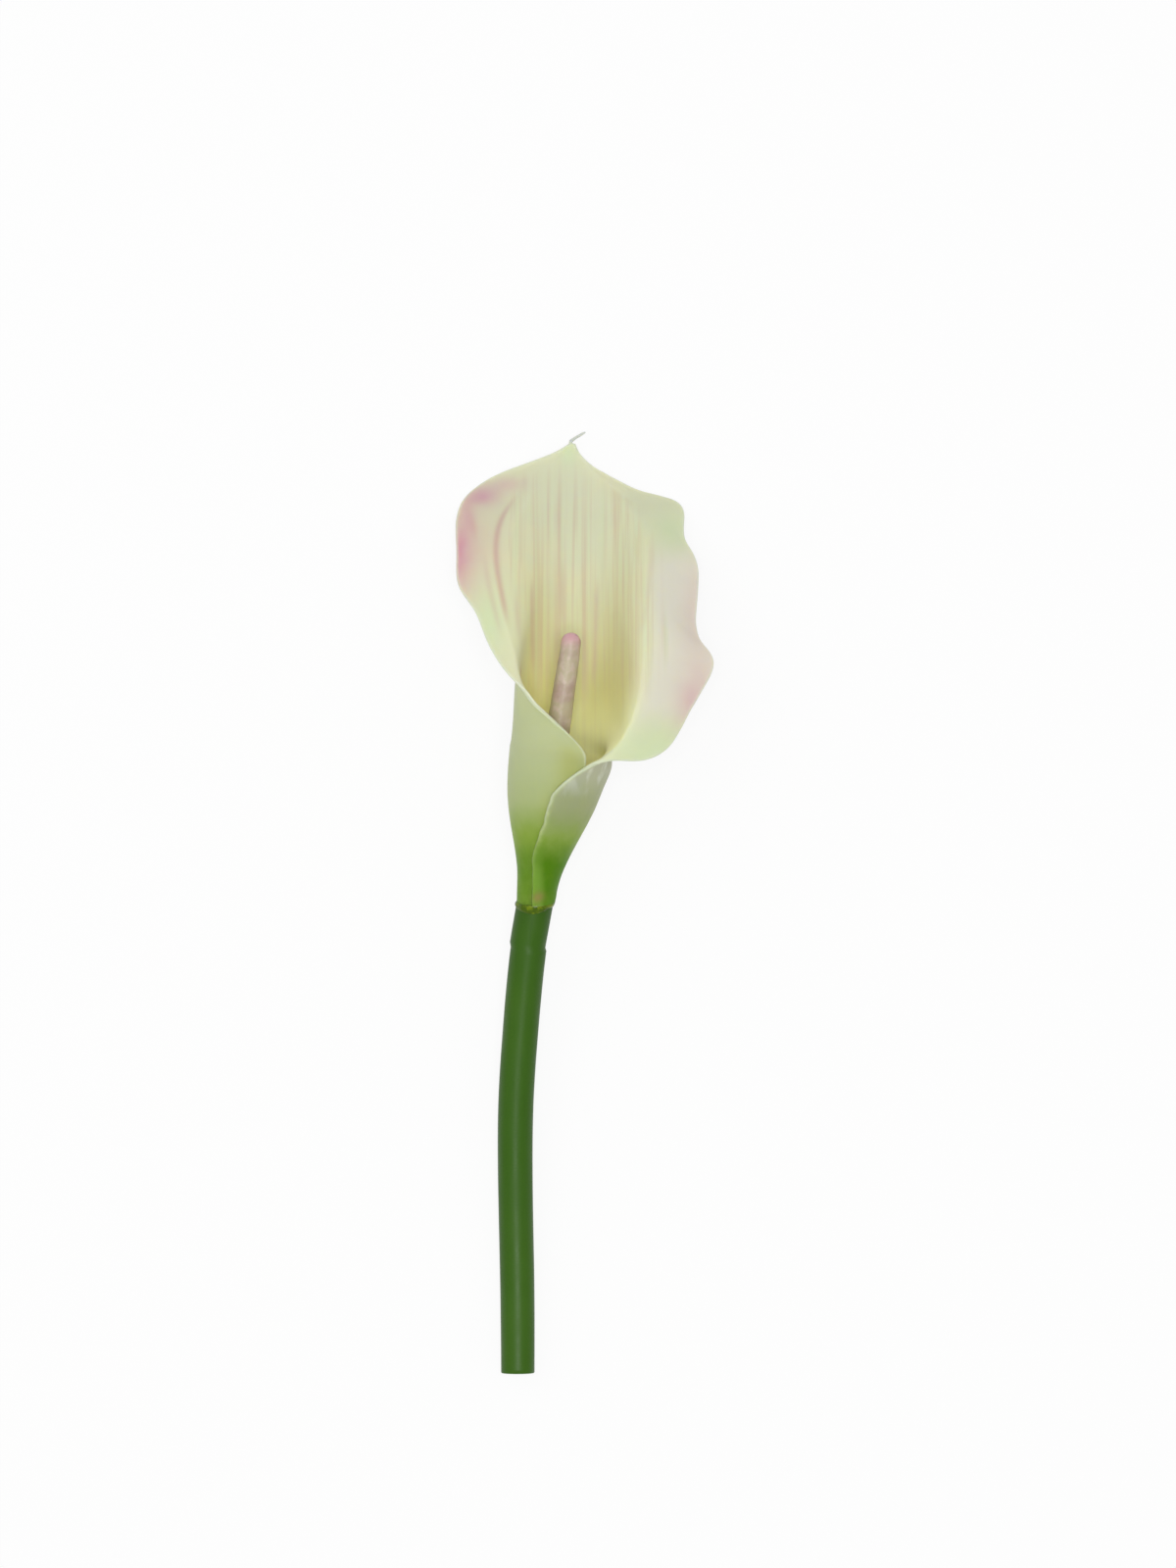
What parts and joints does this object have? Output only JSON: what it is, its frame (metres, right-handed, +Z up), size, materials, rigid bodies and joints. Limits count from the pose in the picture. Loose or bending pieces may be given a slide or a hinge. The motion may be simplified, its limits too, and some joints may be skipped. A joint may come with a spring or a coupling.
{
  "type": "artificial calla lily flower",
  "caption": "Artificial calla lily: a wrapped latex spathe round a spadix, glued to a curved plastic stem with a wire core, lying on its back",
  "frame": {"origin": "bottom centre of the bounding box, on the surface that the flower lies on", "axes": "X across the flower, Y along the stem towards the tip of the spathe, Z up, out of the open mouth"},
  "size_m": [0.0848, 0.3097, 0.0499],
  "materials": {
    "spathe_latex": "soft matt latex, pale green-cream, blushed pink at the lips and grass green at the neck",
    "spadix_latex": "smooth satin latex, dusky pink with a brighter pink tip",
    "glue_olive": "glossy olive glue, uneven",
    "stem_plastic": "smooth extruded plastic, dark green, satin",
    "wire_steel": "plain drawn steel wire, cut square"
  },
  "bodies": {
    "root": {"spathe": "spathe_latex", "spadix": "spadix_latex", "glue_ring": "glue_olive", "stem": "stem_plastic", "stem_wire": "wire_steel"}
  },
  "joints": []
}
